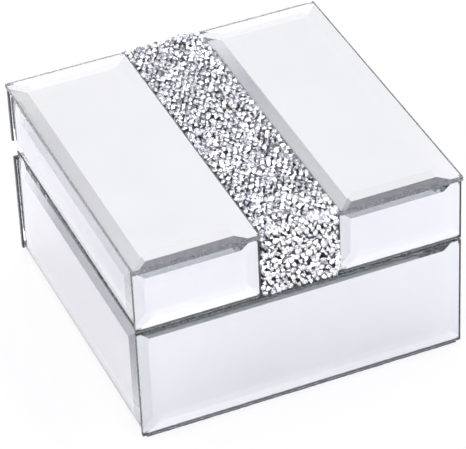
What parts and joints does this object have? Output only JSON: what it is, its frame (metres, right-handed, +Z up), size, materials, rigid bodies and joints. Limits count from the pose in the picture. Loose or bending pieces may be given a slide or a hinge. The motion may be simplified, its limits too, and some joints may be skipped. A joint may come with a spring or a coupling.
{
  "type": "hinged mirrored trinket box",
  "caption": "Low square trinket box clad in bevelled mirror glass, with a crystal band over the hinged lid and down its front, velvet inside.",
  "frame": {"origin": "centre of the underside, on the surface the box stands on", "axes": "+Z up, +X to the right seen from the front, -Y out of the front, hinge at the back (+Y)"},
  "size_m": [0.15, 0.152, 0.092],
  "materials": {
    "mirror_glass": "polished float glass, silvered behind, ground bevel on every edge",
    "crystal": "bed of loose-set pointed-back cut glass stones",
    "wrapped_board": "fibreboard wrapped in satin silver-grey paper",
    "velvet": "short-pile grey velvet over card and thin foam",
    "felt": "dark navy pressed felt",
    "hinge_metal": "bright nickel plate",
    "screw": "nickel-plated steel",
    "silicone": "clear soft silicone"
  },
  "bodies": {
    "base": {"base_board": "wrapped_board", "base_front_wall": "wrapped_board", "base_back_wall": "wrapped_board", "base_left_wall": "wrapped_board", "base_right_wall": "wrapped_board", "base_front_mirror": "mirror_glass", "base_back_mirror": "mirror_glass", "base_left_mirror": "mirror_glass", "base_right_mirror": "mirror_glass", "base_felt": "felt", "floor_pad": "velvet", "base_front_liner": "velvet", "base_back_liner": "velvet", "base_left_liner": "velvet", "base_right_liner": "velvet", "hinge_left_base_leaf": "hinge_metal", "hinge_right_base_leaf": "hinge_metal", "hinge_left_pin": "hinge_metal", "hinge_right_pin": "hinge_metal", "base_hinge_screws": "screw", "rim_bumpers": "silicone"},
    "lid": {"lid_board": "wrapped_board", "lid_front_wall": "wrapped_board", "lid_back_wall": "wrapped_board", "lid_left_wall": "wrapped_board", "lid_right_wall": "wrapped_board", "top_left_mirror": "mirror_glass", "top_right_mirror": "mirror_glass", "lid_front_left_mirror": "mirror_glass", "lid_front_right_mirror": "mirror_glass", "lid_back_mirror": "mirror_glass", "lid_left_mirror": "mirror_glass", "lid_right_mirror": "mirror_glass", "crystal_band_top": "crystal", "crystal_band_front": "crystal", "lid_pad": "velvet", "lid_front_liner": "velvet", "lid_back_liner": "velvet", "lid_left_liner": "velvet", "lid_right_liner": "velvet", "hinge_left_lid_leaf": "hinge_metal", "hinge_right_lid_leaf": "hinge_metal", "lid_hinge_screws": "screw"}
  },
  "joints": [
    {"name": "lid_hinge", "type": "hinge", "parent": "base", "child": "lid", "pos_m": [0, 0.074, 0.0566], "axis": [-1, 0, 0], "range_deg": [0, 100]}
  ]
}
